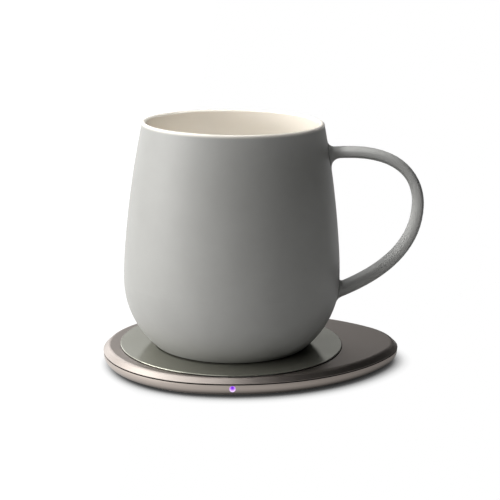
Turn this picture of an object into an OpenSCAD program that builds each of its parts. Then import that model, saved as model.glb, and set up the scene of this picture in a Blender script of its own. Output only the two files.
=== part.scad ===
// A heated mug on its warming pad. Units are millimetres.
// The axis of the mug is the Z axis, the table is z = 0, the lamp faces -Y and the handle points to +X.

/* [Mug] */
// Radius of the mug at its belly
mug_r = 45; // [42:0.5:48]
// Height of the rim above the warming disc
mug_h = 93.4; // [84:0.2:110]
// Height of the belly above the warming disc
belly_h = 27.9; // [26:0.1:30]
// Radius of the curve just above the belly
belly_r = 170; // [140:5:200]
// Radius of the long curve from there up to the rim
flank_r = 420; // [320:10:600]
// Radius of the round curve from belly to foot
bowl_r = 35.7; // [34:0.1:38]
// Wall of the mug
wall = 3; // [2.4:0.1:3.6]
// How much larger the inside's long curve is than the flank's, which thins the wall towards the rim
thin_r = 250; // [0:10:300]
// Depth of the hollow under the floor that holds the heater
recess_h = 7.6; // [7.2:0.1:9]
// Floor between the heater and the drink
floor_t = 4.4; // [3:0.1:5]

/* [Handle] */
// Reach of the handle's middle line from the mug's axis
handle_reach = 76.7; // [70:0.1:84]
// Height of the upper arm's middle line below the rim
handle_drop = 12.6; // [11:0.2:18]
// Height of the lower root's middle line above the warming disc
handle_low = 22.7; // [18:0.1:26]
// Breadth of the strap
handle_w = 10.4; // [8:0.2:13]
// Thickness of the strap at its outer bend
handle_t = 4.5; // [4:0.1:5.6]
// How much thinner the strap is at its upper root
root_thin = 0.25; // [0:0.05:1]
// How much thicker the strap is at its lower root
tail_thick = 0.55; // [0:0.05:1]
// How far inside the reach the upper arm aims
arm_in = 4.4; // [2:0.1:12]
// How far above its root the upper arm aims
arm_up = 3.9; // [0:0.1:6]
// How far inside the reach the lower part aims
tail_in = 16.7; // [12:0.1:20]
// How far above its root the lower part aims
tail_up = 6.5; // [4:0.1:9]

/* [Pad] */
// Radius of the warming disc
disc_r = 46.7; // [44:0.1:50]
// Thickness of the warming disc
disc_t = 1.3; // [1:0.1:1.6]
// Height of the warming disc's face above the table
pad_h = 9; // [9:0.1:11]
// Height of the warming disc's face above the top cover
disc_step = 0.65; // [0.3:0.05:0.8]
// Thickness of the top cover
cover_t = 2.4; // [2.2:0.05:2.5]
// Breadth of the rim round the disc at the heel of the pad, before the heel's shift
heel_rim = 1.1; // [0.9:0.1:4]
// Shift of the heel's curve behind the mug's axis
heel_x = 6; // [5.4:0.1:6.5]
// How much flatter the long sides are than the heel, which also sets the reach of the nose
side_flat = 30.8; // [29:0.1:34]
// Turn of the nose from the handle's line, in degrees
pad_turn = 8; // [0:0.1:15]
// Breadth of the slope round the top cover
slope_w = 2.2; // [1.8:0.1:2.6]
// Radius of the soft shoulder above the slope
shoulder = 2.2; // [0.8:0.1:2.4]
// Wall of the lower shell
shell_wall = 2.4; // [2:0.1:2.6]
// Diameter of the lamp's lens
lens_d = 2.3; // [2:0.1:2.6]
// Place of the lamp on the front side arc, in degrees
lamp_ang = 96.4; // [60:0.2:100]

/* [Inside] */
// Turns of wire in the pad's coil
pad_turns = 12; // [8:1:13]
// Wire of the pad's coil
pad_wire = 1.1; // [0.9:0.1:1.2]
// Turns of wire in the mug's coil
mug_turns = 9; // [6:1:11]
// Wire of the mug's coil
mug_wire = 1.1; // [0.9:0.1:1.2]
// Diameter of the base screws' shanks
screw_d = 2; // [1.6:0.1:2.2]
// Distance of the base screws from the pad's edge
screw_in = 7; // [6.8:0.1:7.2]
// Thickness of the base plate
plate_t = 1.2; // [1.1:0.05:1.3]
// Thickness of the mat under the base plate
mat_t = 0.6; // [0.4:0.05:0.7]
// Thickness of the boards
board_t = 1; // [0.8:0.1:1.1]
// Breadth of the control board
board_w = 48; // [30:1:56]
// Breadth, height and length of the inlet's metal shell
inlet_w = 8.94; // [8.9:0.02:9.1]
inlet_h = 3.26; // [3.2:0.02:3.3]
inlet_l = 7.3; // [6:0.1:9]

/* [Fits] */
// Side play of a part that drops into another
play = 0.15; // [0.1:0.05:0.25]
// Play between the ceramic and the parts set in it
ceramic_play = 0.25; // [0.2:0.05:0.4]
// Open line of the seam between the top cover and the lower shell
seam = 0.3; // [0.2:0.05:0.4]

/* [Hidden] */
$fn = 96;

// Heights of the pad, from the table up
plate_z = mat_t;
flange_z = plate_z + plate_t;
flange_t = 1;
cover_top = pad_h - disc_step;
cover_z = cover_top - cover_t;
disc_z = pad_h - disc_t;
gasket_t = 0.2;
ledge_z = disc_z - gasket_t;
tray_t = 0.8;
ferrite_t = 0.8;
coil_air = 0.6;
coil_z = disc_z - coil_air - pad_wire;
pad_ferrite_z = coil_z - ferrite_t;
tray_z = pad_ferrite_z - tray_t;
board_lift = 0.2;
board_z = flange_z + flange_t + board_lift;
band_z = cover_z - seam;

// Set-ins from the disc's edge
ledge_w = 3.4;
tray_in = 2;
bore_r = disc_r - ledge_w;
tray_r = disc_r - tray_in;
tray_wall = 1.2;
tray_seat = 6;

// Set-ins from the pad's edge
band_in = 0.1;
step_in = 1.3;
skirt_w = 5;
flange_w = 9;
mat_in = 6;
board_in = 10;
lip_w = 0.9;
lip_h = 1.2;
band_flat = 0.6;
band_foot = 0.35;
band_r = band_z - band_flat - plate_z - band_foot;

// The teardrop outline: heel arc, two long side arcs and nose arc, each tangent to the next
// The side arcs meet the heel in the direction (-7, 24) / 25 and the nose in the direction (4, 3) / 5
heel_r = disc_r + heel_rim;
side_r = heel_r + side_flat;
nose_r = heel_r - 0.6 * side_flat;
side_cx = 0.28 * side_flat - heel_x;
side_cy = 0.96 * side_flat;
nose_cx = 1.56 * side_flat - heel_x;
nose_x = nose_cx + nose_r;
heel_end = atan2(24, -7);
nose_end = atan2(3, 4);
knit = 1.6;
bar_l = 0.6;
bar_in = 0.05;
// How far a cut runs past what it opens
over = 1;

// Places round the outline
inlet_ang = nose_end + 11;
ribbon_ang = nose_end + 7;

// Bosses for the base screws, the disc's edge and its gasket
boss_wall = 0.9;
boss_h = 0.7;
screw_play = 0.1;
disc_edge = 0.3;
gasket_in = 0.4;
board_gap = 0.8;

// The lamp, set in behind its lens
lens_set = 0.15;
lens_land = 0.25;
lamp_z = band_z - lens_d / 2 - play - lens_land;
lamp_in = shell_wall + lens_set;
chip_s = 1.6;
chip_t = 0.6;
lamp_board_t = 0.5;
lamp_board_w = 6;
ribbon_t = 0.25;
ribbon_h = 1.4;
ribbon_w = 2.5;
ribbon_back = 12.5;

// The inlet, set in behind the pad's edge, and the tab of the board that carries it
inlet_in = 1;
inlet_wall = 0.35;
inlet_back = 0.6;
inlet_z = board_z + board_t / 2;
tongue_w = 6.7;
tongue_l = 4.9;
tongue_t = 0.7;
tab_side = 1.93;
tab_back = 5.7;
tab_gap = 0.4;
tab_w = inlet_w + 2 * tab_side;
tab_l = inlet_in + inlet_l + tab_back;

// Parts on the control board, measured from the disc's edge
post_r = 1.5;
post_near = [3, 13];
post_far = [12, 5];
post_places = [for (p = [post_near, post_far]) for (s = [-1, 1]) [disc_r + p[0], s * p[1]]];
screw_head_h = 0.8;
driver_at = [2.5, -4];
driver_s = 6;
driver_t = 0.9;
can_at = [8, 8];
can_r = 2.6;
choke_at = [3, -12];
choke_s = [4, 5];
choke_t = 1.1;
pin_at = [11, -6];
pin_step = 3;
pin_s = [2, 1.2];
pin_t = 0.8;
part_air = 0.3;

// Heights of the mug, from the warming disc up
foot_lift = 0.45;
belly_z = pad_h + belly_h;
foot_z = pad_h + foot_lift;
roof_z = foot_z + recess_h;
floor_z = roof_z + floor_t;
crest_z = pad_h + mug_h;

// The belly's curve runs into the flank's in the direction (3116, 237) / 3125
flank_cx = mug_r - belly_r - 0.99712 * (flank_r - belly_r);
flank_cz = belly_z - 0.07584 * (flank_r - belly_r);
join_z = belly_z + 0.07584 * belly_r;

// The inside's long curve starts in the same direction; the rim is the circle that touches it and the skin
inner_r = flank_r + thin_r - wall;
inner_cx = mug_r - belly_r - 0.99712 * (flank_r + thin_r - belly_r);
inner_cz = belly_z - 0.07584 * (flank_r + thin_r - belly_r);
function rim_x(r) = flank_cx + sqrt(pow(flank_r - r, 2) - pow(crest_z - r - flank_cz, 2));
function rim_fit(r, n = 16) = n == 0 ? r
    : rim_fit((r + norm([rim_x(r) - inner_cx, crest_z - r - inner_cz]) - inner_r) / 2, n - 1);
rim_knit = 0.005;
rim_half = rim_fit(wall / 2) + rim_knit;
rim_z = crest_z - rim_half;
rim_ang = asin((rim_z - flank_cz) / (flank_r - rim_half));
foot_r = mug_r - bowl_r + sqrt(bowl_r * bowl_r - pow(belly_z - foot_z, 2));

// The heater's stack under the floor
foot_w = 1.9;
seal_w = 2;
recess_r = foot_r - foot_w;
stack_r = recess_r - seal_w;
base_t = 1.45;
base_z = foot_z + base_t;
seal_t = 1.2;
seal_in = 0.6;
step_z = base_z + seal_t;
foot_groove = 0.35;
ring_in = 1;
ring_w = 5;
mug_coil_z = base_z;
mug_ferrite_z = mug_coil_z + mug_wire;
mug_board_z = mug_ferrite_z + ferrite_t;
parts_h = 1.3;
film_t = 0.4;
felt_in = 0.4;
mug_board_in = 0.8;
mug_ferrite_in = 1.5;
mug_coil_in = 3;
mug_coil_r = 7;
hub_r = 4;
pad_coil_r = 12;
pad_coil_in = 6;
pad_ferrite_in = 3;
sensor_r = 2.2;
sensor_t = 1;
felt_hole = 2.6;
slot_r = 1.2;
slot_in = 4;
mug_chip_at = 8;
mug_chip_s = 6;
mug_coilpart_at = 14;
mug_coilpart_s = [5, 8];
mug_cap_at = 15;
mug_cap_s = [4, 2];

function body_r(z) = z >= join_z ? flank_cx + sqrt(flank_r * flank_r - pow(z - flank_cz, 2))
    : z >= belly_z ? mug_r - belly_r + sqrt(belly_r * belly_r - pow(z - belly_z, 2))
    : mug_r - bowl_r + sqrt(bowl_r * bowl_r - pow(belly_z - z, 2));

// The share of the mug's section that the belly's curve fills, and the flank's up to an angle
module belly_zone() {
    polygon([[0, 0], [1246.4, 0], [1246.4, 94.8]]);
}

module flank_zone(ang) {
    polygon([[0, 0], [1246.4, 94.8], [1246.4, 1246.4 * tan(ang)]]);
}

// The share of the plan that each arc of the outline fills, seen from that arc's centre
module heel_zone() {
    polygon([[0, 0], [-56, 192], [-250, 192], [-250, -192], [-56, -192]]);
}

module side_zone() {
    polygon([[0, 0], [-70, -240], [200, -150]]);
}

module nose_zone() {
    polygon([[0, 0], [160, -120], [160, 120]]);
}

// The pad's outline set in by a distance; the two whole circles knit the sectors together
module outline(in = 0) {
    translate([-heel_x, 0]) circle(heel_r - in - knit);
    translate([nose_cx, 0]) circle(nose_r - in - knit);
    translate([-heel_x, 0]) intersection() {
        circle(heel_r - in);
        heel_zone();
    }
    for (m = [0, 1]) mirror([0, m]) translate([side_cx, side_cy]) intersection() {
        circle(side_r - in, $fn = 192);
        side_zone();
    }
    translate([nose_cx, 0]) intersection() {
        circle(nose_r - in);
        nose_zone();
    }
}

// A section drawn in a little on every side
module core() {
    intersection() {
        translate([bar_in, bar_in]) children();
        translate([-bar_in, bar_in]) children();
        translate([bar_in, -bar_in]) children();
        translate([-bar_in, -bar_in]) children();
    }
}

// A short bar of a section's core that knits two arcs together where they meet
module bridge() {
    rotate([90, 0, 0]) translate([0, 0, -bar_l / 2]) linear_extrude(bar_l) core() children();
}

// A section drawn beside x = 0, carried round the outline
module along_outline() {
    translate([-heel_x, 0, 0]) intersection() {
        rotate_extrude(angle = 360) translate([heel_r, 0]) children();
        linear_extrude(20) heel_zone();
    }
    for (m = [0, 1]) mirror([0, m, 0]) translate([side_cx, side_cy, 0]) intersection() {
        rotate_extrude(angle = 360, $fn = 192) translate([side_r, 0]) children();
        linear_extrude(20) side_zone();
    }
    translate([nose_cx, 0, 0]) intersection() {
        rotate_extrude(angle = 360, $fn = 64) translate([nose_r, 0]) children();
        linear_extrude(20) nose_zone();
    }
    for (m = [0, 1]) mirror([0, m, 0]) {
        translate([-heel_x, 0, 0]) rotate([0, 0, heel_end]) translate([heel_r, 0, 0]) bridge() children();
        translate([nose_cx, 0, 0]) rotate([0, 0, nose_end]) translate([nose_r, 0, 0]) bridge() children();
    }
}

// Stands children on the front (-1) or back (1) side arc, x pointing outwards from the outline
module on_side(ang, s) {
    translate([side_cx, -s * side_cy, 0]) rotate([0, 0, s * ang]) translate([side_r, 0, 0]) children();
}

module on_heel(ang, in) {
    translate([-heel_x, 0, 0]) rotate([0, 0, ang]) translate([heel_r - in, 0, 0]) children();
}

module screw_places(in = screw_in) {
    for (a = [180, 125, -125]) on_heel(a, in) children();
    for (s = [-1, 1]) on_side(72, s) translate([-in, 0, 0]) children();
    translate([nose_x - in, 0, 0]) children();
}

module disc(r, z, h, hole = 0) {
    translate([0, 0, z]) difference() {
        cylinder(r = r, h = h);
        if (hole > 0) translate([0, 0, -1]) cylinder(r = hole, h = h + 2);
    }
}

// A flat coil of half turns whose centres alternate, so that it winds outwards
module coil(r0, pitch, turns, wire) {
    for (i = [0:2 * turns - 1]) translate([i % 2 == 0 ? 0 : pitch / 2, 0, 0]) rotate([0, 0, 180 * (i % 2)])
        rotate_extrude(angle = 180) translate([r0 + i * pitch / 2, 0]) circle(d = wire, $fn = 16);
}

// The mug's half section, or its inside: two arcs that lie a distance inside the skin at the belly
module mug_sides(in, centre, r, ang) {
    translate([mug_r - belly_r, belly_z]) intersection() {
        circle(belly_r - in, $fn = 360);
        belly_zone();
        translate([belly_r - mug_r, 0]) square([mug_r + 1, mug_h]);
    }
    translate(centre) intersection() {
        circle(r, $fn = 720);
        flank_zone(ang);
        translate([-centre[0], 0]) square([mug_r + 1, 2 * mug_h]);
    }
}

module mug_outer_half() {
    mug_sides(0, [flank_cx, flank_cz], flank_r, rim_ang);
    intersection() {
        translate([mug_r - bowl_r, belly_z]) circle(bowl_r);
        translate([0, foot_z]) square([mug_r + 1, belly_z - foot_z]);
    }
}

module mug_inner_half() {
    corner = belly_z - floor_z;
    mug_sides(wall, [inner_cx, inner_cz], inner_r, rim_ang + 3);
    intersection() {
        translate([mug_r - wall - corner, belly_z]) circle(corner);
        translate([0, floor_z]) square([mug_r, corner]);
    }
    translate([0, floor_z]) square([mug_r - wall - corner, corner]);
}

module mug_body() {
    color([0.62, 0.62, 0.6]) rotate_extrude(angle = 360, $fn = 128) {
        difference() {
            mug_outer_half();
            mug_inner_half();
            translate([-1, foot_z - 1]) square([recess_r + ceramic_play + 1, step_z - foot_z + 1]);
            translate([-1, foot_z]) square([stack_r + ceramic_play + 1, roof_z - foot_z]);
        }
        translate([rim_x(rim_half), rim_z]) circle(rim_half, $fn = 48);
    }
}

// The handle's middle line: two curves in the XZ plane that meet at the outer bend
top_z = pad_h + mug_h - handle_drop;
low_z = pad_h + handle_low;
bend_z = low_z + 0.64 * (top_z - low_z);
arm = [[body_r(top_z), top_z], [handle_reach - arm_in, top_z + arm_up],
    [handle_reach, bend_z + 0.36 * (top_z - bend_z)], [handle_reach, bend_z]];
tail = [[handle_reach, bend_z], [handle_reach, bend_z - 0.53 * (bend_z - low_z)],
    [handle_reach - tail_in, low_z + tail_up], [body_r(low_z), low_z]];

function on_curve(p, t) = pow(1 - t, 3) * p[0] + 3 * pow(1 - t, 2) * t * p[1]
    + 3 * (1 - t) * t * t * p[2] + t * t * t * p[3];
function heading(p, t) = let (d = 3 * pow(1 - t, 2) * (p[1] - p[0]) + 6 * (1 - t) * t * (p[2] - p[1])
    + 3 * t * t * (p[3] - p[2])) d / norm(d);
function ease(t) = t * t * (3 - 2 * t);
// How far a root of radius r has swollen at a distance d from the wall
function swell(r, d) = d < r ? r - sqrt(r * r - pow(r - d, 2)) : 0;
function rounded(x) = sign(x) * pow(abs(x), 0.62);
// Way from a point along a direction to the mug's skin
function to_skin(p, d, s = 0, n = 6) = n == 0 ? s
    : to_skin(p, d, s + (sqrt(pow(body_r(p[2] + s * d[2]), 2) - p[1] * p[1]) + 0.03
        - p[0] - s * d[0]) / d[0], n - 1);

near = [0, 0.1, 0.35, 0.8, 1.4, 2.2, 3.2, 4.5, 6.2];
arm_speed = 3 * norm(arm[1] - arm[0]);
tail_speed = 3 * norm(tail[3] - tail[2]);
run = 17;
// Each station: curve, place on it, distance from the upper root, distance from the lower root
stations = concat(
    [for (d = near) [arm, d / arm_speed, d, 99]],
    [for (i = [1:run]) let (t0 = near[8] / arm_speed) [arm, t0 + (1 - t0) * i / run, 99, 99]],
    [for (i = [1:run]) let (t1 = 1 - near[8] / tail_speed) [tail, t1 * i / run, 99, 99]],
    [for (i = [7:-1:0]) [tail, 1 - near[i] / tail_speed, 99, near[i]]]);
ring_n = 28;

// A point of a station's ring, at share q from the middle line to the strap's surface
function ring_point(s, j, q) = let (
    c = on_curve(s[0], s[1]),
    u = heading(s[0], s[1]),
    upper = s[0] == arm,
    half = (upper ? handle_t - root_thin * (1 - ease(s[1])) : handle_t + tail_thick * ease(s[1])) / 2,
    outer_h = half + swell(2.8, s[2]) + swell(1.2, s[3]),
    inner_h = half + swell(4.2, s[2]) + swell(2.8, s[3]),
    side_h = handle_w / 2 + swell(2, s[2]) + swell(2, s[3]),
    a = 360 * j / ring_n,
    h = q * rounded(sin(a)) * (sin(a) > 0 ? outer_h : inner_h),
    p = [c[0] - u[1] * h, q * side_h * rounded(cos(a)), c[1] + u[0] * h],
    d = [upper ? u[0] : -u[0], 0, upper ? u[1] : -u[1]],
    gap = min(s[2], s[3]),
    k = pow(max(0, 1 - gap / 9), 2))
    k == 0 ? p : p + k * (to_skin(p, d) - to_skin([c[0], 0, c[1]], d)
        + (gap == 0 ? to_skin([c[0], 0, c[1]], d) : 0)) * d;

module mug_handle() {
    n = len(stations);
    caps = [0.66, 0.33];
    rings = concat(
        [for (i = [1:-1:0]) [for (j = [0:ring_n - 1]) ring_point(stations[0], j, caps[i])]],
        [for (s = stations) [for (j = [0:ring_n - 1]) ring_point(s, j, 1)]],
        [for (i = [0:1]) [for (j = [0:ring_n - 1]) ring_point(stations[n - 1], j, caps[i])]]);
    m = len(rings);
    points = concat([for (r = rings) each r], [ring_point(stations[0], 0, 0), ring_point(stations[n - 1], 0, 0)]);
    sides = [for (i = [0:m - 2]) for (j = [0:ring_n - 1]) let (k = (j + 1) % ring_n)
        each [[i * ring_n + j, (i + 1) * ring_n + j, (i + 1) * ring_n + k],
            [i * ring_n + j, (i + 1) * ring_n + k, i * ring_n + k]]];
    ends = [for (j = [0:ring_n - 1]) let (k = (j + 1) % ring_n)
        each [[m * ring_n, j, k], [m * ring_n + 1, (m - 1) * ring_n + k, (m - 1) * ring_n + j]]];
    color([0.62, 0.62, 0.6]) polyhedron(points = points, faces = concat(sides, ends), convexity = 6);
}

module base_cover() {
    color([0.3, 0.3, 0.3]) difference() {
        disc(recess_r, foot_z, base_t);
        disc(recess_r - ring_in + play, foot_z - 1, 1 + foot_groove, recess_r - ring_in - ring_w - play);
    }
}

module base_seal() {
    color([0.2, 0.2, 0.2]) disc(recess_r, base_z, seal_t, stack_r - seal_in);
}

module foot_ring() {
    color([0.15, 0.15, 0.15])
        disc(recess_r - ring_in, pad_h, foot_lift + foot_groove, recess_r - ring_in - ring_w);
}

module heating_film() {
    color([0.75, 0.5, 0.2]) disc(stack_r, roof_z - film_t, film_t);
}

module insulation_pad() {
    low = mug_board_z + board_t + parts_h;
    color([0.92, 0.9, 0.84]) disc(stack_r - felt_in, low, roof_z - film_t - low, felt_hole);
}

module mug_coil() {
    pitch = (stack_r - mug_coil_in - mug_coil_r) / mug_turns;
    color([0.72, 0.42, 0.2]) translate([0, 0, mug_coil_z + mug_wire / 2])
        coil(mug_coil_r, pitch, mug_turns, mug_wire);
}

module mug_ferrite() {
    color([0.25, 0.25, 0.27]) disc(stack_r - mug_ferrite_in, mug_ferrite_z, ferrite_t, hub_r);
}

module mug_board() {
    color([0.1, 0.35, 0.2]) difference() {
        disc(stack_r - mug_board_in, mug_board_z, board_t);
        for (a = [45, 225]) rotate([0, 0, a]) translate([stack_r - slot_in, 0, mug_board_z - 1])
            cylinder(r = slot_r, h = board_t + 2, $fn = 24);
    }
}

module mug_board_parts() {
    z = mug_board_z + board_t;
    color([0.12, 0.12, 0.13]) {
        translate([mug_chip_at, -mug_chip_s / 2, z]) cube([mug_chip_s, mug_chip_s, parts_h]);
        translate([-mug_coilpart_at, -mug_coilpart_s[1] / 2, z])
            cube([mug_coilpart_s[0], mug_coilpart_s[1], parts_h]);
        for (a = [60, 90, 120, 240, 270, 300]) rotate([0, 0, a])
            translate([mug_cap_at, -mug_cap_s[1] / 2, z]) cube([mug_cap_s[0], mug_cap_s[1], parts_h]);
    }
}

module mug_sensor() {
    z = mug_board_z + board_t;
    color([0.85, 0.8, 0.7]) disc(sensor_r, z, roof_z - film_t - z);
}

// Section of the top cover's rim: a soft slope from the flat top down to the seam
edge_cut = 0.25;
edge_land = 0.1;
rim_run = 12;

module cover_rim() {
    foot = edge_cut + edge_land;
    lean = atan2(cover_t - foot, slope_w);
    t = shoulder * tan(lean / 2);
    polygon([[-rim_run, cover_z], [-edge_cut, cover_z], [0, cover_z + edge_cut], [0, cover_z + foot],
        [-slope_w + t * cos(lean), cover_top - t * sin(lean)], [-slope_w - t, cover_top], [-rim_run, cover_top]]);
    intersection() {
        translate([-slope_w - t, cover_top - shoulder]) circle(shoulder);
        translate([-slope_w - t, cover_top - t * sin(lean) - 0.1])
            square([t + t * cos(lean), t * sin(lean) + 0.2]);
    }
}

// A lip under the cover that drops inside the lower shell, open at the lamp and at the inlet
module cover_lip() {
    deep = 2 * lip_h;
    difference() {
        along_outline() translate([-shell_wall - play - lip_w, cover_z - lip_h]) square([lip_w, lip_h + 0.1]);
        on_side(lamp_ang, -1) translate([-skirt_w - 1, -lamp_board_w / 2 - tab_gap, cover_z - deep])
            cube([skirt_w, lamp_board_w + 2 * tab_gap, deep]);
        on_side(inlet_ang, 1) translate([-skirt_w - 1, -tab_w / 2 - tab_gap, cover_z - deep])
            cube([skirt_w, tab_w + 2 * tab_gap, deep]);
    }
}

module top_cover() {
    color([0.62, 0.58, 0.55]) rotate([0, 0, pad_turn]) difference() {
        union() {
            difference() {
                union() {
                    translate([0, 0, cover_z]) linear_extrude(cover_t) outline(rim_run - 1);
                    along_outline() cover_rim();
                }
                disc(bore_r, cover_z - 2, 8);
            }
            cover_lip();
        }
        disc(disc_r + play, ledge_z, 8);
    }
}

// Section of the lower shell: a rounded band with a flange inside that the base plate screws to
module shell_band() {
    round_z = band_z - band_flat;
    difference() {
        union() {
            translate([-shell_wall, flange_z]) square([shell_wall - band_in, band_z - flange_z]);
            translate([-shell_wall, flange_z]) square([shell_wall - step_in, cover_z - flange_z]);
            translate([-flange_w, flange_z]) square([flange_w - step_in, flange_t]);
            translate([-skirt_w, plate_z]) square([skirt_w - band_in, flange_z - plate_z + flange_t / 2]);
        }
        difference() {
            translate([-band_in - band_r, plate_z - 0.5]) square([band_r + 1, round_z - plate_z + 0.5]);
            translate([-band_in - band_r, round_z]) circle(band_r);
        }
    }
}

module lower_shell() {
    color([0.64, 0.6, 0.57]) rotate([0, 0, pad_turn]) difference() {
        union() {
            along_outline() shell_band();
            screw_places() translate([0, 0, flange_z])
                cylinder(r = screw_d / 2 + boss_wall, h = flange_t + boss_h, $fn = 32);
        }
        screw_places() translate([0, 0, flange_z - over])
            cylinder(d = screw_d + screw_play, h = flange_t + boss_h + 2 * over, $fn = 32);
        on_side(lamp_ang, -1) translate([-flange_w, 0, lamp_z]) rotate([0, 90, 0])
            cylinder(d = lens_d + 2 * play, h = flange_w + over, $fn = 48);
        on_side(inlet_ang, 1) {
            translate([-tab_l, 0, inlet_z]) rotate([90, 0, 90]) linear_extrude(tab_l + over) inlet_shape(play);
            translate([-tab_l, -tab_w / 2 - tab_gap, flange_z])
                cube([tab_l - shell_wall, tab_w + 2 * tab_gap, cover_z - flange_z + over]);
        }
    }
}

// The socket's mouth: a flat slot with round ends
module inlet_shape(more = 0) {
    r = inlet_h / 2;
    square([inlet_w - inlet_h, inlet_h + 2 * more], center = true);
    for (s = [-1, 1]) translate([s * (inlet_w / 2 - r), 0]) circle(r + more, $fn = 48);
}

module usb_socket() {
    color([0.75, 0.75, 0.76]) rotate([0, 0, pad_turn]) on_side(inlet_ang, 1)
        translate([-inlet_in - inlet_l, 0, inlet_z]) rotate([90, 0, 90]) difference() {
            linear_extrude(inlet_l) inlet_shape();
            translate([0, 0, inlet_back]) linear_extrude(inlet_l) inlet_shape(-inlet_wall);
        }
}

module usb_tongue() {
    color([0.12, 0.12, 0.13]) rotate([0, 0, pad_turn]) on_side(inlet_ang, 1)
        translate([-inlet_in - inlet_l + inlet_back, -tongue_w / 2, inlet_z - tongue_t / 2])
            cube([tongue_l, tongue_w, tongue_t]);
}

module base_plate() {
    root = plate_z + plate_t / 2;
    color([0.2, 0.2, 0.21]) rotate([0, 0, pad_turn]) difference() {
        union() {
            translate([0, 0, plate_z]) linear_extrude(plate_t) outline(skirt_w + play);
            disc(tray_r - tray_seat, root, tray_z - root, tray_r - tray_seat - seal_w);
            for (p = post_places) translate([p[0], p[1], root])
                cylinder(r = post_r, h = board_z - root, $fn = 32);
        }
        screw_places() translate([0, 0, plate_z - 1]) {
            cylinder(d = screw_d + 2 * play, h = 6, $fn = 32);
            cylinder(d = screw_d * 2 + 2 * play, h = screw_head_h + 1, $fn = 32);
        }
    }
}

module base_mat() {
    color([0.1, 0.1, 0.1]) rotate([0, 0, pad_turn]) linear_extrude(mat_t) outline(mat_in);
}

module base_screws() {
    color([0.7, 0.7, 0.72]) rotate([0, 0, pad_turn]) screw_places() {
        translate([0, 0, plate_z]) cylinder(d = screw_d * 2, h = screw_head_h, $fn = 32);
        translate([0, 0, plate_z]) cylinder(d = screw_d, h = plate_t + flange_t + boss_h / 2, $fn = 32);
    }
}

module warming_disc() {
    e = disc_edge;
    color([0.76, 0.77, 0.72]) rotate_extrude(angle = 360, $fn = 128) {
        translate([0, disc_z]) square([disc_r - e, disc_t]);
        translate([0, disc_z]) square([disc_r, disc_t - e]);
        translate([disc_r - e, pad_h - e]) circle(e, $fn = 32);
    }
}

module disc_gasket() {
    color([0.1, 0.1, 0.1]) disc(disc_r - gasket_in, ledge_z, gasket_t, bore_r + gasket_in);
}

module coil_tray() {
    color([0.85, 0.84, 0.8]) {
        disc(tray_r, tray_z, tray_t);
        disc(tray_r, tray_z, cover_z - tray_z, tray_r - tray_wall);
        disc(hub_r, tray_z, disc_z - sensor_t - tray_z);
    }
}

module pad_coil() {
    pitch = (tray_r - pad_coil_in - pad_coil_r) / pad_turns;
    color([0.72, 0.42, 0.2]) translate([0, 0, coil_z + pad_wire / 2])
        coil(pad_coil_r, pitch, pad_turns, pad_wire);
}

module pad_ferrite() {
    color([0.25, 0.25, 0.27]) disc(tray_r - pad_ferrite_in, pad_ferrite_z, ferrite_t, hub_r + play);
}

module pad_sensor() {
    color([0.85, 0.8, 0.7]) disc(sensor_r, disc_z - sensor_t, sensor_t);
}

module control_board() {
    color([0.1, 0.35, 0.2]) rotate([0, 0, pad_turn]) translate([0, 0, board_z]) linear_extrude(board_t) difference() {
        union() {
            intersection() {
                outline(board_in);
                translate([0, -board_w / 2]) square([nose_x, board_w]);
            }
            on_side(inlet_ang, 1) translate([-tab_l, -tab_w / 2]) square([tab_l - shell_wall - inlet_back, tab_w]);
        }
        circle(tray_r + board_gap);
        translate([-nose_x, -nose_x]) square([nose_x, 2 * nose_x]);
        on_side(inlet_ang, 1) translate([-inlet_in - inlet_l, -inlet_w / 2]) square([2 * inlet_l, inlet_w]);
    }
}

module board_parts() {
    z = board_z + board_t;
    h = cover_z - z - part_air;
    color([0.12, 0.12, 0.13]) rotate([0, 0, pad_turn]) translate([disc_r, 0, z]) {
        translate(driver_at) cube([driver_s, driver_s, min(h, driver_t)]);
        translate(can_at) cylinder(r = can_r, h = h, $fn = 48);
        translate(choke_at) cube([choke_s[0], choke_s[1], min(h, choke_t)]);
        for (i = [0:3]) translate(pin_at + [0, i * pin_step]) cube([pin_s[0], pin_s[1], min(h, pin_t)]);
    }
}

// The lamp: a lens through the band, a chip behind it on a board of its own, and a ribbon back to the control board
module lamp_lens() {
    color([0.6, 0.35, 0.95]) rotate([0, 0, pad_turn]) on_side(lamp_ang, -1) translate([-lamp_in, 0, lamp_z])
        rotate([0, 90, 0]) cylinder(d = lens_d, h = lamp_in - lens_set, $fn = 48);
}

module lamp_chip() {
    color([0.9, 0.9, 0.85]) rotate([0, 0, pad_turn]) on_side(lamp_ang, -1)
        translate([-lamp_in - chip_t, -chip_s / 2, lamp_z - chip_s / 2]) cube([chip_t, chip_s, chip_s]);
}

module lamp_board() {
    low = flange_z + flange_t;
    color([0.1, 0.35, 0.2]) rotate([0, 0, pad_turn]) on_side(lamp_ang, -1)
        translate([-lamp_in - chip_t - lamp_board_t, -lamp_board_w / 2, low])
            cube([lamp_board_t, lamp_board_w, lamp_z + chip_s - low]);
}

module lamp_ribbon() {
    in = lamp_in + chip_t + lamp_board_t;
    color([0.6, 0.4, 0.15]) rotate([0, 0, pad_turn]) {
        translate([side_cx, side_cy, flange_z + flange_t]) rotate([0, 0, -lamp_ang])
            rotate_extrude(angle = lamp_ang - ribbon_ang, $fn = 192)
                translate([side_r - in - ribbon_t, 0]) square([ribbon_t, ribbon_h]);
        on_side(ribbon_ang, -1) translate([-ribbon_back, -ribbon_w / 2, board_z + board_t])
            cube([ribbon_back - in, ribbon_w, ribbon_t]);
    }
}

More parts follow.
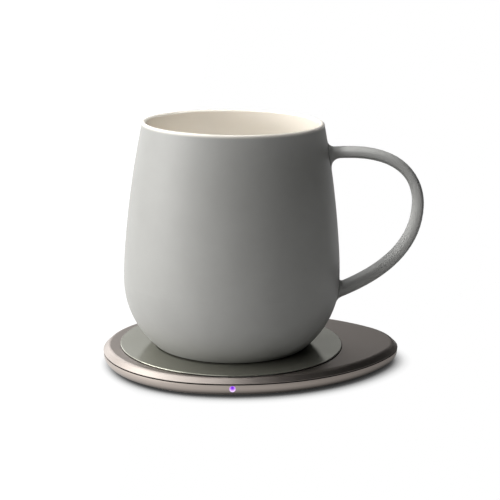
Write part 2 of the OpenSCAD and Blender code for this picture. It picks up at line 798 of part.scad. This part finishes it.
mug_body();
mug_handle();
base_cover();
base_seal();
foot_ring();
heating_film();
insulation_pad();
mug_coil();
mug_ferrite();
mug_board();
mug_board_parts();
mug_sensor();
top_cover();
lower_shell();
base_plate();
base_mat();
base_screws();
warming_disc();
disc_gasket();
coil_tray();
pad_coil();
pad_ferrite();
pad_sensor();
control_board();
board_parts();
usb_socket();
usb_tongue();
lamp_lens();
lamp_chip();
lamp_board();
lamp_ribbon();
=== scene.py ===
import math
import bpy
from mathutils import Matrix, Vector


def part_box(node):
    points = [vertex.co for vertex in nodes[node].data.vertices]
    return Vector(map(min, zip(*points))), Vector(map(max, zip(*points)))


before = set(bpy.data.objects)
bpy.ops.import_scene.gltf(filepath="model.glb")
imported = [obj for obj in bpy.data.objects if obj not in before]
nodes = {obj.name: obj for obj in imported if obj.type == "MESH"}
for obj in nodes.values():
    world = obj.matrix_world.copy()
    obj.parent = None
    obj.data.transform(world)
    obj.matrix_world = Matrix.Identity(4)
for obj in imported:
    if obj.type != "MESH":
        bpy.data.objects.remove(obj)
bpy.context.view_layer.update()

mm = 0.001
discTop = 9.0  # the warming disc's face above the table, in mm
noiseSpan = (0.3, 0.7)  # nearly all levels of a noise lie between these
grainDepth = 0.04  # of the fine bump on all pieces, in mm
streakDepth = 0.02  # of the brushed metals' bump, in mm

print("stage: helpers")


def addNode(tree, kind, settings=None, **inputs):
    node = tree.nodes.new(kind)
    for key, value in (settings or {}).items():
        setattr(node, key, value)
    for key, value in inputs.items():
        node.inputs[key.replace("_", " ")].default_value = value
    return node


# A socket takes a link from another one, or a plain value
def feed(tree, value, socket):
    if isinstance(value, bpy.types.NodeSocket):
        tree.links.new(value, socket)
    else:
        socket.default_value = value


def addMath(tree, operation, first, second):
    node = addNode(tree, "ShaderNodeMath", {"operation": operation})
    feed(tree, first, node.inputs[0])
    feed(tree, second, node.inputs[1])
    return node.outputs["Value"]


# Length, distance or lean of a vector, as one value
def addMeasure(tree, operation, vector, other=(0.0, 0.0, 0.0)):
    node = addNode(tree, "ShaderNodeVectorMath", {"operation": operation})
    tree.links.new(vector, node.inputs[0])
    node.inputs[1].default_value = other
    return node.outputs["Value"]


# Carries a value from one range to another
def addSpan(tree, source, start, end=(0.0, 1.0), blend="LINEAR"):
    span = addNode(tree, "ShaderNodeMapRange", {"interpolation_type": blend},
                   From_Min=start[0], From_Max=start[1], To_Min=end[0], To_Max=end[1])
    tree.links.new(source, span.inputs["Value"])
    return span.outputs["Result"]


# A colour ramp over a value, from stops of place and colour
def addRamp(tree, source, stops):
    ramp = tree.nodes.new("ShaderNodeValToRGB")
    band = ramp.color_ramp
    while len(band.elements) > 1:
        band.elements.remove(band.elements[-1])
    band.elements[0].position = stops[0][0]
    band.elements[0].color = (*stops[0][1], 1.0)
    for place, colour in stops[1:]:
        stop = band.elements.new(place)
        stop.color = (*colour, 1.0)
    tree.links.new(source, ramp.inputs["Fac"])
    return ramp.outputs["Color"]


# Stops of place and grey level, as colours
def greys(stops):
    return [(place, (level, level, level)) for place, level in stops]


# Sockets 6 and 7 are the two colours of a colour mix, output 2 is the result
def mixColours(tree, share, first, second):
    mix = addNode(tree, "ShaderNodeMix", {"data_type": "RGBA"})
    tree.links.new(share, mix.inputs[0])
    feed(tree, first, mix.inputs[6])
    feed(tree, second, mix.inputs[7])
    return mix.outputs[2]


# Object coordinates in metres, stretched per axis
def addCoords(tree, scale=(1.0, 1.0, 1.0)):
    coords = tree.nodes.new("ShaderNodeTexCoord")
    mapping = addNode(tree, "ShaderNodeMapping", Scale=scale)
    tree.links.new(coords.outputs["Object"], mapping.inputs["Vector"])
    return mapping.outputs["Vector"]


def splitAxes(tree, vector):
    parts = tree.nodes.new("ShaderNodeSeparateXYZ")
    tree.links.new(vector, parts.inputs["Vector"])
    return parts.outputs


# A node tree with a principled shader, ready for links
def startMaterial(name, base, roughness=0.5, metallic=0.0, specular=0.5):
    mat = bpy.data.materials.new(name)
    mat.use_nodes = True
    tree = mat.node_tree
    shader = tree.nodes["Principled BSDF"]
    shader.inputs["Base Color"].default_value = (*base, 1.0)
    shader.inputs["Roughness"].default_value = roughness
    shader.inputs["Metallic"].default_value = metallic
    shader.inputs["Specular IOR Level"].default_value = specular
    return mat, tree, shader


# Soft noise, and the same noise as a colour between two tones
def addTones(tree, vector, spec):
    noise = addNode(tree, "ShaderNodeTexNoise", Scale=spec["scale"], Detail=spec.get("detail", 4.0),
                    Roughness=0.6)
    tree.links.new(vector, noise.inputs["Vector"])
    level = noise.outputs["Fac"]
    colour = addRamp(tree, level, [(noiseSpan[0], spec["dark"]), (noiseSpan[1], spec["light"])])
    return level, colour


# Bump from a height, its depth in mm; ease rounds the shading over edges, in mm
def addBump(tree, shader, height, strength, depth, ease=0.0):
    bump = addNode(tree, "ShaderNodeBump", Strength=strength, Distance=depth * mm)
    tree.links.new(height, bump.inputs["Height"])
    if ease:
        edge = addNode(tree, "ShaderNodeBevel", {"samples": 8}, Radius=ease * mm)
        tree.links.new(edge.outputs["Normal"], bump.inputs["Normal"])
    tree.links.new(bump.outputs["Normal"], shader.inputs["Normal"])


def addGrain(tree, shader, vector, spec):
    fine = addNode(tree, "ShaderNodeTexNoise", Scale=spec["grain"], Detail=3.0, Roughness=0.55)
    tree.links.new(vector, fine.inputs["Vector"])
    addBump(tree, shader, fine.outputs["Fac"], spec["bump"], grainDepth, spec.get("ease", 0.0))


# The painted shade line's soft edge, and the height that its ramp takes in, in mm
shadeLineSpec = {"colour": (0.03, 0.026, 0.023, 1.0), "soft": 0.06, "reach": 10.0}


# A dark line of painted shade all round between two heights in mm, over a colour: it stands in for the shade
# in a gap between parts
def addShadeLine(tree, colour, low, high):
    reach = shadeLineSpec["reach"]
    soft = shadeLineSpec["soft"]
    height = addSpan(tree, splitAxes(tree, addCoords(tree))["Z"], (0.0, reach * mm))
    stops = [((low - soft) / reach, 0.0), (low / reach, 1.0),
             (high / reach, 1.0), ((high + soft) / reach, 0.0)]
    return mixColours(tree, addRamp(tree, height, greys(stops)), colour, shadeLineSpec["colour"])


# Mottled colour between two tones, with roughness and bump
def plainMaterial(name, spec):
    mat, tree, shader = startMaterial(name, spec["light"], metallic=spec.get("metallic", 0.0),
                                      specular=spec.get("specular", 0.5))
    vector = addCoords(tree)
    level, colour = addTones(tree, vector, spec)
    # A dark line of painted shade, where the spec gives its heights
    if "line" in spec:
        colour = addShadeLine(tree, colour, *spec["line"])
    tree.links.new(colour, shader.inputs["Base Color"])
    tree.links.new(addSpan(tree, level, noiseSpan, spec["rough"]), shader.inputs["Roughness"])
    addGrain(tree, shader, vector, spec)
    return mat


def dress(nodeName, mat):
    mesh = nodes[nodeName].data
    mesh.materials.clear()
    mesh.materials.append(mat)


print("stage: materials of the mug")

# The mug's curves, in mm
mugShape = {
    "bellyR": 45.0, "bellyZ": discTop + 27.9, "bellyCurve": 170.0, "flankR": 420.0,
    "wall": 3.0, "thinR": 250.0,  # the inside's long curve is larger by thinR
    "join": (0.99712, 0.07584),  # the direction in which the belly's curve runs into the flank's
    "floorZ": discTop + 0.45 + 7.6 + 4.4,  # foot, hollow and floor
    "crest": discTop + 93.4,
}
greySpec = {"dark": (0.295, 0.295, 0.284), "light": (0.313, 0.313, 0.302), "scale": 70.0, "detail": 3.0}
creamSpec = {"dark": (0.865, 0.82, 0.745), "light": (0.885, 0.84, 0.765), "scale": 45.0, "detail": 3.0}
mugSpec = {
    "grey": greySpec, "cream": creamSpec,
    "rough": (0.24, 0.5), "bump": 0.05, "grain": 1400.0, "specular": 0.4,
    "fade": 1.6,  # the grey runs out over this height below the crest, in mm
    "soft": 0.3,  # half the width of the change from cream to grey, in mm
    "floorBends": ((-0.6, 0.0), (-0.2, 34.0), (6.0, 39.5)),  # above the floor, and the radius there
    "wallBends": (35.9, 44.0, 56.0, 68.0, 80.0, 90.0),  # heights at which the curve follows the wall
    "tall": 110.0, "wide": 50.0,  # what the curve's two axes take in
}
handleSpec = dict(greySpec, rough=(0.5, 0.58), bump=0.03, grain=1400.0, specular=0.4, ease=0.8)


# Radius of the mug's skin at a height, or of its inside, whose long curve is the larger one
def wallRadius(z, inside):
    shape = mugShape
    across, down = shape["join"]
    belly = shape["bellyCurve"] - inside * shape["wall"]
    if z < shape["bellyZ"]:
        return shape["bellyR"] - inside * shape["wall"]
    if z < shape["bellyZ"] + shape["bellyCurve"] * down:
        return shape["bellyR"] - shape["bellyCurve"] + math.sqrt(belly ** 2 - (z - shape["bellyZ"]) ** 2)
    step = shape["flankR"] + inside * shape["thinR"] - shape["bellyCurve"]
    centreR = shape["bellyR"] - shape["bellyCurve"] - step * across
    centreZ = shape["bellyZ"] - step * down
    return centreR + math.sqrt((belly + step) ** 2 - (z - centreZ) ** 2)


def midWall(z):
    return (wallRadius(z, 0) + wallRadius(z, 1)) / 2


# Height and radius along the middle of the floor and the wall, where cream meets grey
def glazeBends(spec):
    crest = mugShape["crest"]
    bends = [(0.0, 0.0)]
    bends += [(mugShape["floorZ"] + up, radius) for up, radius in spec["floorBends"]]
    bends += [(z, midWall(z)) for z in (*spec["wallBends"], crest)]
    bends.append((spec["tall"], midWall(crest)))
    return bends


# Matte grey glaze outside, cream glaze inside; the two run into each other on the rim's outer edge
def mugMaterial(name, spec):
    mat, tree, shader = startMaterial(name, spec["grey"]["light"], specular=spec["specular"])
    vector = addCoords(tree)
    height = splitAxes(tree, vector)["Z"]
    edge = tree.nodes.new("ShaderNodeFloatCurve")
    curve = edge.mapping.curves[0]
    bends = glazeBends(spec)
    while len(curve.points) < len(bends):
        curve.points.new(0.5, 0.5)
    for point, (z, radius) in zip(curve.points, bends):
        point.location = (z / spec["tall"], radius / spec["wide"])
        point.handle_type = "VECTOR"
    edge.mapping.update()
    tree.links.new(addMath(tree, "DIVIDE", height, spec["tall"] * mm), edge.inputs["Value"])
    perWide = 1.0 / (spec["wide"] * mm)
    reach = addMeasure(tree, "LENGTH", addCoords(tree, (perWide, perWide, 0.0)))
    gap = addMath(tree, "SUBTRACT", reach, edge.outputs["Value"])
    soft = spec["soft"] / spec["wide"]
    outer = addSpan(tree, gap, (-soft, soft), blend="SMOOTHSTEP")
    crest = mugShape["crest"]
    under = addSpan(tree, height, ((crest - spec["fade"]) * mm, crest * mm), (1.0, 0.0), "SMOOTHSTEP")
    share = addMath(tree, "MULTIPLY", outer, under)
    grey = addTones(tree, vector, spec["grey"])[1]
    cream = addTones(tree, vector, spec["cream"])[1]
    tree.links.new(mixColours(tree, share, cream, grey), shader.inputs["Base Color"])
    tree.links.new(addSpan(tree, share, (0.0, 1.0), spec["rough"]), shader.inputs["Roughness"])
    addGrain(tree, shader, vector, spec)
    return mat


dress("mug_body", mugMaterial("mugGlaze", mugSpec))
dress("mug_handle", plainMaterial("handleGlaze", handleSpec))

print("stage: materials of the pad")

# Heights in mm of the painted shade along the seam between the top cover and the lower shell, over its real
# groove
seamShade = (5.66, 5.94)
topSpec = {"light": (0.395, 0.352, 0.323), "dark": (0.36, 0.321, 0.294), "scale": 30.0,
           "stretch": (1.0, 60.0, 60.0), "rough": (0.32, 0.41), "bump": 0.05, "line": seamShade}
bandSpec = {"light": (0.5, 0.442, 0.398), "dark": (0.46, 0.405, 0.365), "scale": 40.0,
            "stretch": (1.0, 1.0, 40.0), "rough": (0.3, 0.39), "bump": 0.06, "line": seamShade}
# The disc's line is painted shade along its foot, where it stands on the cover
discSpec = {"light": (0.365, 0.365, 0.309), "dark": (0.345, 0.345, 0.292), "scale": 60.0, "detail": 2.0,
            "metallic": 0.75, "rough": (0.15, 0.2), "bump": 0.01, "grain": 1800.0, "line": (8.2, 8.7)}


# Anodised aluminium: fine brushed streaks over a warm grey, with a dark line of painted shade along the seam
def brushedMetal(name, spec):
    mat, tree, shader = startMaterial(name, spec["light"], metallic=1.0)
    streak, colour = addTones(tree, addCoords(tree, spec["stretch"]), spec)
    tree.links.new(addShadeLine(tree, colour, *spec["line"]), shader.inputs["Base Color"])
    tree.links.new(addSpan(tree, streak, noiseSpan, spec["rough"]), shader.inputs["Roughness"])
    addBump(tree, shader, streak, spec["bump"], streakDepth)
    return mat


dress("top_cover", brushedMetal("coverMetal", topSpec))
dress("lower_shell", brushedMetal("bandMetal", bandSpec))
dress("warming_disc", plainMaterial("discSatin", discSpec))

print("stage: materials inside")

# A finish and the pieces that have it
insideSpecs = {
    "basePlastic": ({"dark": (0.03, 0.03, 0.031), "light": (0.045, 0.045, 0.046), "scale": 300.0,
                     "rough": (0.5, 0.62), "bump": 0.3, "grain": 2500.0}, ["base_cover", "base_plate"]),
    "silicone": ({"dark": (0.018, 0.018, 0.018), "light": (0.028, 0.028, 0.028), "scale": 200.0,
                  "rough": (0.6, 0.72), "bump": 0.2, "grain": 3000.0},
                 ["base_seal", "foot_ring", "base_mat", "disc_gasket"]),
    "polyimide": ({"dark": (0.42, 0.17, 0.03), "light": (0.55, 0.24, 0.05), "scale": 120.0,
                   "rough": (0.25, 0.35), "bump": 0.1, "grain": 900.0}, ["heating_film", "lamp_ribbon"]),
    "felt": ({"dark": (0.68, 0.65, 0.57), "light": (0.82, 0.79, 0.71), "scale": 900.0,
              "rough": (0.85, 0.95), "bump": 0.9, "grain": 2600.0}, ["insulation_pad"]),
    "copperWire": ({"dark": (0.55, 0.22, 0.09), "light": (0.72, 0.33, 0.14), "scale": 150.0, "metallic": 1.0,
                    "rough": (0.22, 0.34), "bump": 0.1, "grain": 1200.0}, ["mug_coil", "pad_coil"]),
    "ferrite": ({"dark": (0.03, 0.03, 0.034), "light": (0.05, 0.05, 0.055), "scale": 500.0,
                 "rough": (0.6, 0.75), "bump": 0.4, "grain": 2600.0}, ["mug_ferrite", "pad_ferrite"]),
    "boardLacquer": ({"dark": (0.012, 0.075, 0.03), "light": (0.02, 0.11, 0.045), "scale": 260.0,
                      "rough": (0.25, 0.4), "bump": 0.1, "grain": 1800.0},
                     ["mug_board", "control_board", "lamp_board"]),
    "chipPlastic": ({"dark": (0.012, 0.012, 0.014), "light": (0.022, 0.022, 0.024), "scale": 700.0,
                     "rough": (0.45, 0.6), "bump": 0.2, "grain": 3000.0},
                    ["mug_board_parts", "board_parts", "usb_tongue"]),
    "sensorClay": ({"dark": (0.58, 0.52, 0.4), "light": (0.66, 0.6, 0.48), "scale": 600.0,
                    "rough": (0.6, 0.75), "bump": 0.3, "grain": 2600.0}, ["mug_sensor", "pad_sensor"]),
    "plateSteel": ({"dark": (0.45, 0.45, 0.46), "light": (0.58, 0.58, 0.6), "scale": 400.0, "metallic": 1.0,
                    "rough": (0.22, 0.36), "bump": 0.15, "grain": 1500.0}, ["base_screws", "usb_socket"]),
    "trayPlastic": ({"dark": (0.6, 0.59, 0.54), "light": (0.66, 0.65, 0.6), "scale": 300.0,
                     "rough": (0.45, 0.6), "bump": 0.2, "grain": 2500.0}, ["coil_tray"]),
    "lampChip": ({"dark": (0.72, 0.7, 0.62), "light": (0.8, 0.78, 0.7), "scale": 900.0,
                  "rough": (0.3, 0.4), "bump": 0.1, "grain": 2500.0}, ["lamp_chip"]),
}
for name, (spec, members) in insideSpecs.items():
    insideMat = plainMaterial(name, spec)
    for member in members:
        dress(member, insideMat)

print("stage: lamp")

# Tones outwards from a spot that lies lift mm above the lens's middle, over reach mm
lampSpec = {"base": (0.16, 0.02, 0.55), "rough": 0.18, "power": 0.9, "lift": 0.6, "reach": 1.55,
            "tones": ((0.0, (0.05, 0.0, 0.22)), (0.3, (0.16, 0.02, 0.55)), (0.62, (0.6, 0.28, 1.0)),
                      (0.95, (1.0, 0.82, 1.0)))}


# The lit lens: a deep violet spot above its middle, pink-white along its lower edge
def lampMaterial(spec):
    mat, tree, shader = startMaterial("lampLens", spec["base"], spec["rough"])
    low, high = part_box("lamp_lens")
    spot = ((low[0] + high[0]) / 2, low[1], (low[2] + high[2]) / 2 + spec["lift"] * mm)
    away = addMeasure(tree, "DISTANCE", addCoords(tree), spot)
    colour = addRamp(tree, addSpan(tree, away, (0.0, spec["reach"] * mm)), spec["tones"])
    tree.links.new(colour, shader.inputs["Emission Color"])
    shader.inputs["Emission Strength"].default_value = spec["power"]
    return mat


dress("lamp_lens", lampMaterial(lampSpec))

print("stage: lights")

warmWhite = (1.0, 0.99, 0.97)
pureWhite = (1.0, 1.0, 1.0)
studioSpecs = {
    "keyLight": {"place": (-0.85, 0.0, 0.55), "target": (0.0, 0.0, 0.06), "size": (1.0, 0.9), "power": 4.9,
                 "colour": warmWhite},
    "fillLight": {"place": (-0.56, -0.56, 0.72), "target": (0.0, 0.0, 0.06), "size": (0.8, 0.8), "power": 1.5,
                  "colour": pureWhite},
    "topLight": {"place": (-0.4, 0.05, 0.9), "target": (0.0, 0.0, 0.06), "size": (1.0, 1.0), "power": 2.6,
                 "colour": pureWhite},
    "lowLight": {"place": (-0.9, -0.25, 0.14), "target": (0.0, 0.0, 0.04), "size": (0.9, 0.24), "power": 6.5,
                 "colour": warmWhite},
}
handleLightSpec = {"place": (-0.42, -0.24, 0.66), "target": (0.07, 0.0, 0.08), "size": (0.2, 0.2),
                   "power": 6.0, "colour": pureWhite}
mouthLightSpec = {"place": (0.22, -0.38, 0.95), "target": (-0.004, 0.006, 0.1), "power": 84.0,
                  "colour": pureWhite, "cone": 2.7, "blend": 0.6, "soft": 0.03}


def aimedLight(name, kind, spec):
    data = bpy.data.lights.new(name, kind)
    data.energy = spec["power"]
    data.color = spec["colour"]
    light = bpy.data.objects.new(name, data)
    light.location = spec["place"]
    aim = Vector(spec["target"]) - Vector(spec["place"])
    light.rotation_euler = aim.to_track_quat("-Z", "Y").to_euler()
    bpy.context.scene.collection.objects.link(light)
    return light


def areaLight(name, spec):
    light = aimedLight(name, "AREA", spec)
    light.data.shape = "RECTANGLE"
    light.data.size = spec["size"][0]
    light.data.size_y = spec["size"][1]
    return light


for name, spec in studioSpecs.items():
    areaLight(name, spec)

# The handle stands in the mug's shade: a light of its own from the left brings out its round edges
handleLight = areaLight("handleLight", handleLightSpec)
handleOnly = bpy.data.collections.new("handleOnly")
handleOnly.objects.link(nodes["mug_handle"])
handleLight.light_linking.receiver_collection = handleOnly

# A narrow light into the mug's mouth only
mouthLight = aimedLight("mouthLight", "SPOT", mouthLightSpec)
mouthLight.data.spot_size = math.radians(mouthLightSpec["cone"])
mouthLight.data.spot_blend = mouthLightSpec["blend"]
mouthLight.data.shadow_soft_size = mouthLightSpec["soft"]

print("stage: floor and world")

floorSpec = {
    "size": 6.0, "drop": 0.0001,
    "lit": (0.0, -0.09, 0.0), "near": 0.11, "far": 0.26, "pale": 0.72, "dim": 0.06,  # the pale spot
    "contact": 0.008, "rays": 24, "lean": (-0.3, -0.08, 0.95),  # the contact shadow, away from the light
    "shade": ((0.0, 0.0), (0.25, 0.08), (0.5, 0.5), (0.75, 0.88), (0.95, 1.0)),
    # Brightness in reflections from left to right, within halfWide each way
    "halfWide": 0.3,
    "mirrored": ((-0.1, 1.2), (-0.05, 1.1), (0.0, 0.72), (0.04, 0.5), (0.09, 0.27), (0.115, 0.45),
                 (0.15, 1.0)),
}


# White, with a soft contact shadow, to the camera and in reflections;
# to other light a pale spot under the object
def makeFloor(spec):
    bpy.ops.mesh.primitive_plane_add(size=spec["size"], location=(0, 0, -spec["drop"]))
    floor = bpy.context.object
    floor.name = "floor"
    mat = bpy.data.materials.new("paleFloor")
    mat.use_nodes = True
    tree = mat.node_tree
    tree.nodes.clear()
    vector = addCoords(tree)
    away = addMeasure(tree, "DISTANCE", vector, spec["lit"])
    diffuse = tree.nodes.new("ShaderNodeBsdfDiffuse")
    fade = addSpan(tree, away, (spec["near"], spec["far"]), (spec["pale"], spec["dim"]))
    tree.links.new(fade, diffuse.inputs["Color"])
    contact = addNode(tree, "ShaderNodeAmbientOcclusion", {"samples": spec["rays"]}, Distance=spec["contact"])
    lean = addNode(tree, "ShaderNodeCombineXYZ", X=spec["lean"][0], Y=spec["lean"][1], Z=spec["lean"][2])
    tree.links.new(lean.outputs["Vector"], contact.inputs["Normal"])
    glow = tree.nodes.new("ShaderNodeEmission")
    tree.links.new(addRamp(tree, contact.outputs["AO"], greys(spec["shade"])), glow.inputs["Color"])
    half = spec["halfWide"]
    across = addSpan(tree, splitAxes(tree, vector)["X"], (-half, half))
    levels = [((x + half) / (2 * half), level) for x, level in spec["mirrored"]]
    mirrored = addRamp(tree, across, greys(levels))
    path = tree.nodes.new("ShaderNodeLightPath").outputs
    tree.links.new(addMath(tree, "MAXIMUM", mirrored, path["Is Camera Ray"]), glow.inputs["Strength"])
    seen = addMath(tree, "MAXIMUM", path["Is Camera Ray"], path["Is Glossy Ray"])
    seen = addMath(tree, "MAXIMUM", seen, path["Is Transmission Ray"])
    mix = tree.nodes.new("ShaderNodeMixShader")
    tree.links.new(seen, mix.inputs["Fac"])
    tree.links.new(diffuse.outputs["BSDF"], mix.inputs[1])
    tree.links.new(glow.outputs["Emission"], mix.inputs[2])
    out = tree.nodes.new("ShaderNodeOutputMaterial")
    tree.links.new(mix.outputs["Shader"], out.inputs["Surface"])
    floor.data.materials.append(mat)


makeFloor(floorSpec)

worldSpec = {
    # Brightness by how far a direction leans towards side, and how it grows from front to back
    "side": (-0.9, 0.0, 0.44),
    "steps": ((-1.0, 0.01), (-0.2, 0.015), (0.0, 0.02), (0.1, 0.03), (0.2, 0.1), (0.32, 0.3), (0.435, 1.4),
              (0.86, 0.9)),
    "frontBack": (-0.9, 1.0), "growth": (0.3, 1.75),
    # A low stripe of backdrop, between heights, brighter on the left
    "stripe": ((0.21, 0.0), (0.26, 1.0), (0.36, 1.0), (0.42, 0.0)),
    "leftRight": (-0.15, 0.15), "glow": (0.85, 0.32), "behind": (0.6, 0.85),
}


# White to the camera; to the object a studio that is bright on the left, dark on the right,
# with a low bright stripe of backdrop behind it
def makeWorld(spec):
    world = bpy.data.worlds.new("studio")
    bpy.context.scene.world = world
    world.use_nodes = True
    tree = world.node_tree
    tree.nodes.clear()
    ahead = tree.nodes.new("ShaderNodeTexCoord").outputs["Generated"]
    axes = splitAxes(tree, ahead)
    lean = addSpan(tree, addMeasure(tree, "DOT_PRODUCT", ahead, spec["side"]), (-1.0, 1.0))
    room = tree.nodes.new("ShaderNodeBackground")
    steps = [((place + 1.0) / 2.0, level) for place, level in spec["steps"]]
    tree.links.new(addRamp(tree, lean, greys(steps)), room.inputs["Color"])
    tree.links.new(addSpan(tree, axes["Y"], spec["frontBack"], spec["growth"]), room.inputs["Strength"])
    backdrop = tree.nodes.new("ShaderNodeBackground")
    tree.links.new(addRamp(tree, axes["Z"], greys(spec["stripe"])), backdrop.inputs["Color"])
    across = addSpan(tree, axes["X"], spec["leftRight"], spec["glow"])
    behind = addSpan(tree, axes["Y"], spec["behind"])
    tree.links.new(addMath(tree, "MULTIPLY", across, behind), backdrop.inputs["Strength"])
    both = tree.nodes.new("ShaderNodeAddShader")
    tree.links.new(room.outputs["Background"], both.inputs[0])
    tree.links.new(backdrop.outputs["Background"], both.inputs[1])
    white = addNode(tree, "ShaderNodeBackground", Color=(1.0, 1.0, 1.0, 1.0), Strength=1.0)
    path = tree.nodes.new("ShaderNodeLightPath")
    mix = tree.nodes.new("ShaderNodeMixShader")
    tree.links.new(path.outputs["Is Camera Ray"], mix.inputs["Fac"])
    tree.links.new(both.outputs["Shader"], mix.inputs[1])
    tree.links.new(white.outputs["Background"], mix.inputs[2])
    out = tree.nodes.new("ShaderNodeOutputWorld")
    tree.links.new(mix.outputs["Shader"], out.inputs["Surface"])


makeWorld(worldSpec)

print("stage: camera")

# Angles in degrees; focal length and frame in pixels, sensor in mm
cameraSpec = {"place": (0.0, -0.58812, 0.18823), "pitch": 13.3588, "yaw": 0.7252, "roll": -0.7177,
              "focal": 1451.0, "frame": 500.0, "sensor": 36.0, "clip": 0.01}


def makeCamera(spec):
    pitch = math.radians(spec["pitch"])
    yaw = math.radians(spec["yaw"])
    roll = math.radians(spec["roll"])
    ahead = Vector((math.sin(yaw) * math.cos(pitch), math.cos(yaw) * math.cos(pitch), -math.sin(pitch)))
    right = Vector((math.cos(yaw), -math.sin(yaw), 0.0))
    up = right.cross(ahead)
    newRight = right * math.cos(roll) - up * math.sin(roll)
    newUp = right * math.sin(roll) + up * math.cos(roll)
    data = bpy.data.cameras.new("camera")
    data.sensor_width = spec["sensor"]
    data.lens = spec["sensor"] * spec["focal"] / spec["frame"]
    data.clip_start = spec["clip"]
    data.dof.use_dof = False
    camera = bpy.data.objects.new("camera", data)
    basis = Matrix((newRight, newUp, -ahead)).transposed().to_4x4()
    camera.matrix_world = Matrix.Translation(spec["place"]) @ basis
    bpy.context.scene.collection.objects.link(camera)
    bpy.context.scene.camera = camera


makeCamera(cameraSpec)
bpy.context.scene.view_settings.view_transform = "Standard"

print("stage: done")
